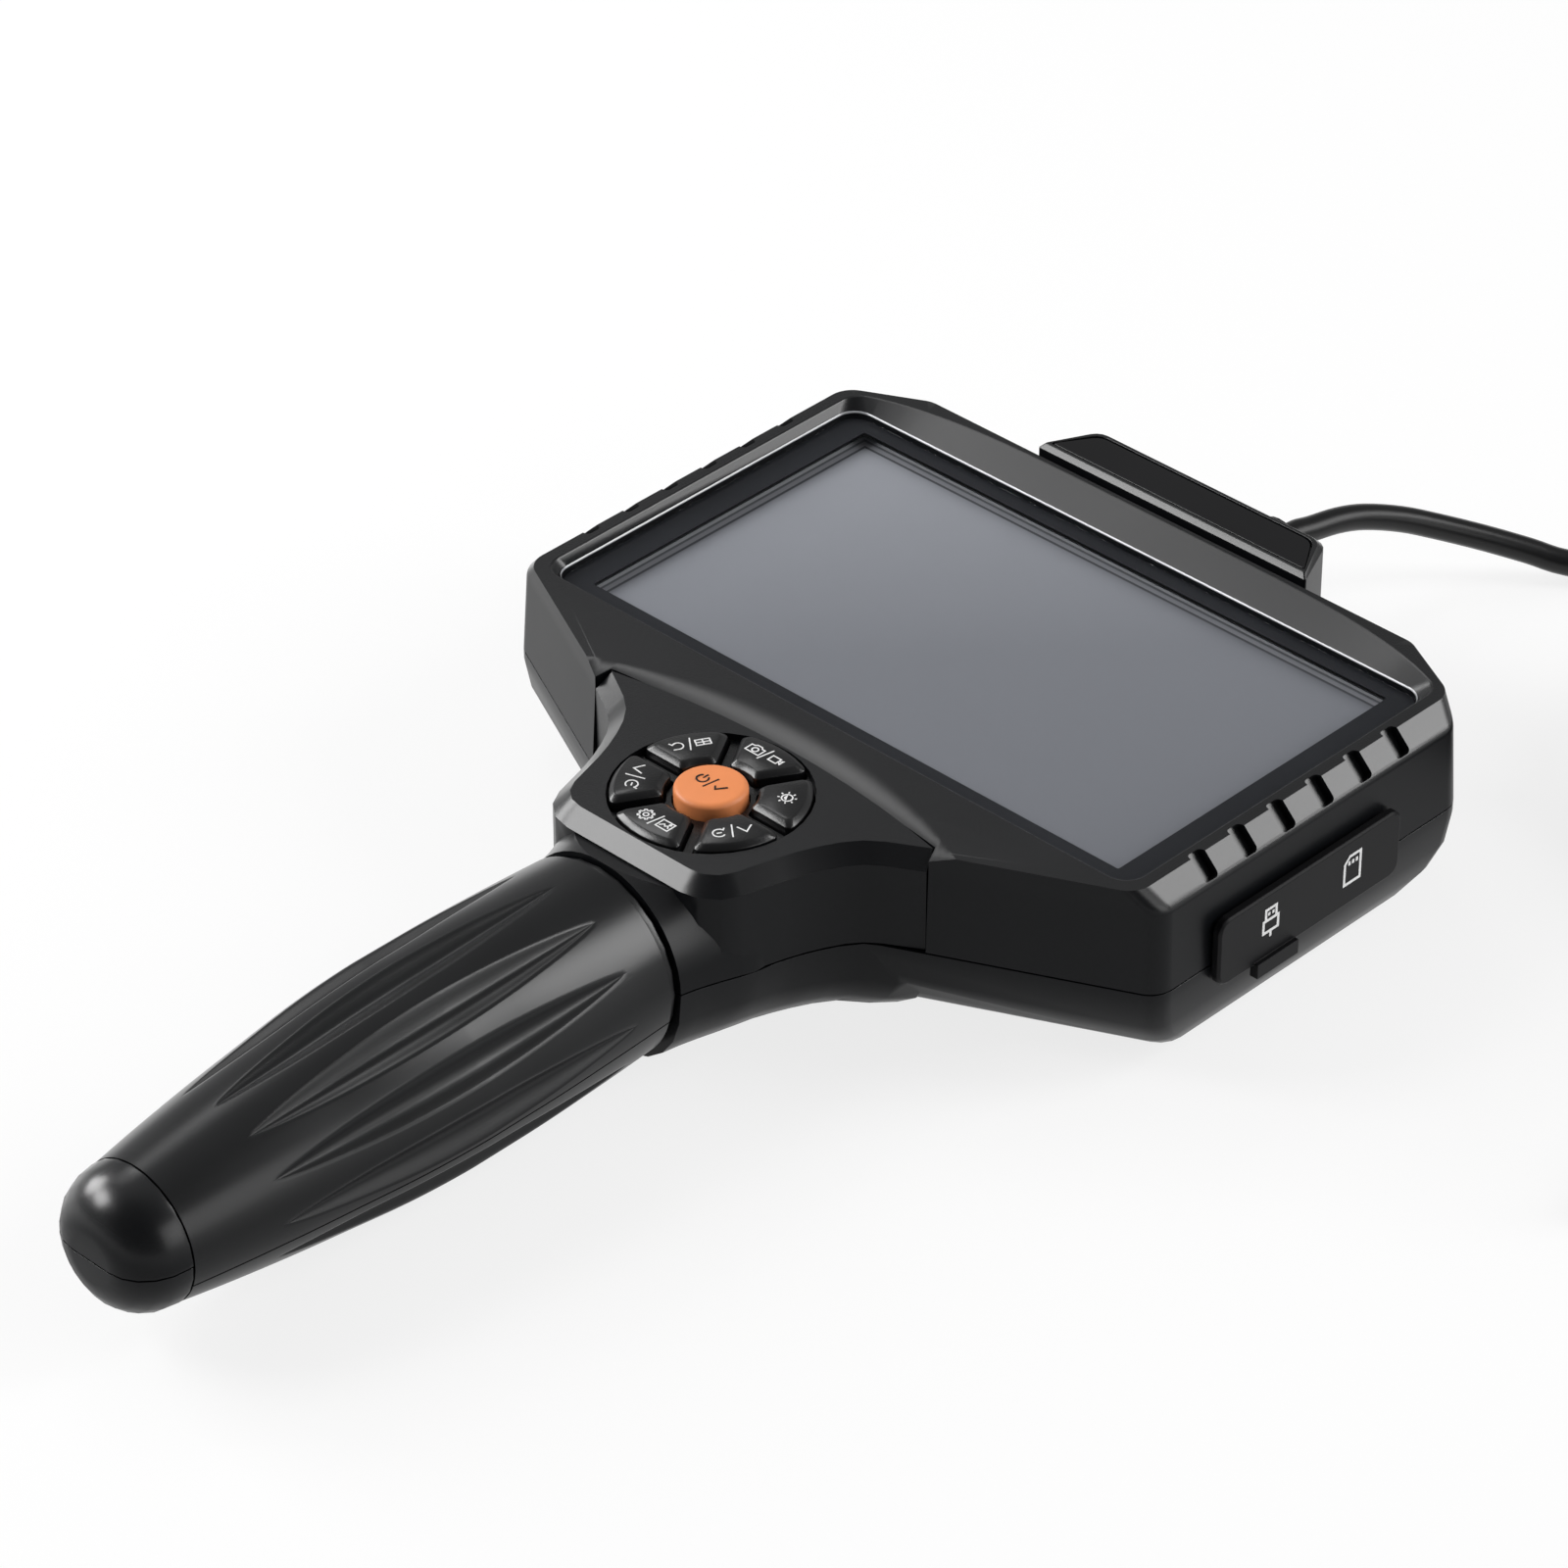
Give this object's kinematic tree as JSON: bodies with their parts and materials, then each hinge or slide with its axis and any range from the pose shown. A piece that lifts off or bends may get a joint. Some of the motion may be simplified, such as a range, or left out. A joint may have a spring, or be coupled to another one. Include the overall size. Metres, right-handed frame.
{
  "type": "handheld inspection camera",
  "caption": "Handheld inspection camera: a display head on a fluted round grip, a thumb keypad, a rubber port cover and a slim probe camera on a long coiled cable.",
  "frame": {"origin": "on the flat back of the head, under the middle of the display window", "axes": "+Z out of the display, +Y towards the cable end, +X towards the port cover; the grip points along -Y"},
  "size_m": [0.2079, 0.3267, 0.0368],
  "materials": {
    "satin_plastic": "satin charcoal",
    "grip_rubber": "satin",
    "key_rubber": "satin",
    "orange_plastic": "satin",
    "gloss_plastic": "gloss black",
    "cover_glass": "polished",
    "display": "dark grey screen",
    "steel": "turned",
    "nickel": "plated",
    "frame_metal": "pressed",
    "board": "solder mask",
    "tape": "black adhesive",
    "cell": "wrapped",
    "ribbon": "polyimide",
    "cable": "satin black",
    "lens": "polished",
    "lamp": "diffuse white"
  },
  "bodies": {
    "housing": {"head_front_shell": "satin_plastic", "keypad_deck": "satin_plastic", "rear_shell": "satin_plastic", "cable_block": "satin_plastic", "gland_nut": "satin_plastic", "block_plate": "gloss_plastic", "strain_relief": "grip_rubber", "grip_front": "grip_rubber", "grip_back": "grip_rubber", "collar_ring": "grip_rubber", "coil_tie_1": "grip_rubber", "coil_tie_2": "grip_rubber", "camera_ferrule": "grip_rubber", "cover_glass": "cover_glass", "glass_tape": "tape", "lcd_panel": "display", "lcd_frame": "frame_metal", "main_board": "board", "key_board": "board", "key_ribbon": "ribbon", "usb_port": "nickel", "card_slot": "nickel", "tact_switch_1": "nickel", "tact_switch_2": "nickel", "tact_switch_3": "nickel", "tact_switch_4": "nickel", "tact_switch_5": "nickel", "tact_switch_6": "nickel", "tact_switch_7": "nickel", "battery_cell": "cell", "battery_tab_front": "nickel", "battery_tab_rear": "nickel", "battery_lead": "ribbon", "probe_lead": "cable", "probe_coil": "cable", "camera_head": "steel", "light_ring": "lamp", "camera_lens": "lens", "back_screw_1": "steel", "back_screw_2": "steel", "back_screw_3": "steel", "back_screw_4": "steel", "back_screw_5": "steel", "back_screw_6": "steel", "back_screw_7": "steel"},
    "port_cover": {"port_flap": "grip_rubber"},
    "button_ok": {"ok_button": "orange_plastic"},
    "button_top": {"key_top": "key_rubber"},
    "button_upper_right": {"key_upper_right": "key_rubber"},
    "button_lower_right": {"key_lower_right": "key_rubber"},
    "button_bottom": {"key_bottom": "key_rubber"},
    "button_lower_left": {"key_lower_left": "key_rubber"},
    "button_upper_left": {"key_upper_left": "key_rubber"}
  },
  "joints": [
    {"name": "port_cover_hinge", "type": "hinge", "parent": "housing", "child": "port_cover", "pos_m": [0.06835, 0, 0.0258], "axis": [0, -1, 0], "range_deg": [0, 100]},
    {"name": "ok_press", "type": "slide", "parent": "housing", "child": "button_ok", "axis": [0, 0, -1], "range_m": [0, 0.0008], "stiffness_N_per_m": 400, "springref_m": -0.001},
    {"name": "top_press", "type": "slide", "parent": "housing", "child": "button_top", "axis": [0, 0, -1], "range_m": [0, 0.0008], "stiffness_N_per_m": 400, "springref_m": -0.001},
    {"name": "upper_right_press", "type": "slide", "parent": "housing", "child": "button_upper_right", "axis": [0, 0, -1], "range_m": [0, 0.0008], "stiffness_N_per_m": 400, "springref_m": -0.001},
    {"name": "lower_right_press", "type": "slide", "parent": "housing", "child": "button_lower_right", "axis": [0, 0, -1], "range_m": [0, 0.0008], "stiffness_N_per_m": 400, "springref_m": -0.001},
    {"name": "bottom_press", "type": "slide", "parent": "housing", "child": "button_bottom", "axis": [0, 0, -1], "range_m": [0, 0.0008], "stiffness_N_per_m": 400, "springref_m": -0.001},
    {"name": "lower_left_press", "type": "slide", "parent": "housing", "child": "button_lower_left", "axis": [0, 0, -1], "range_m": [0, 0.0008], "stiffness_N_per_m": 400, "springref_m": -0.001},
    {"name": "upper_left_press", "type": "slide", "parent": "housing", "child": "button_upper_left", "axis": [0, 0, -1], "range_m": [0, 0.0008], "stiffness_N_per_m": 400, "springref_m": -0.001}
  ]
}
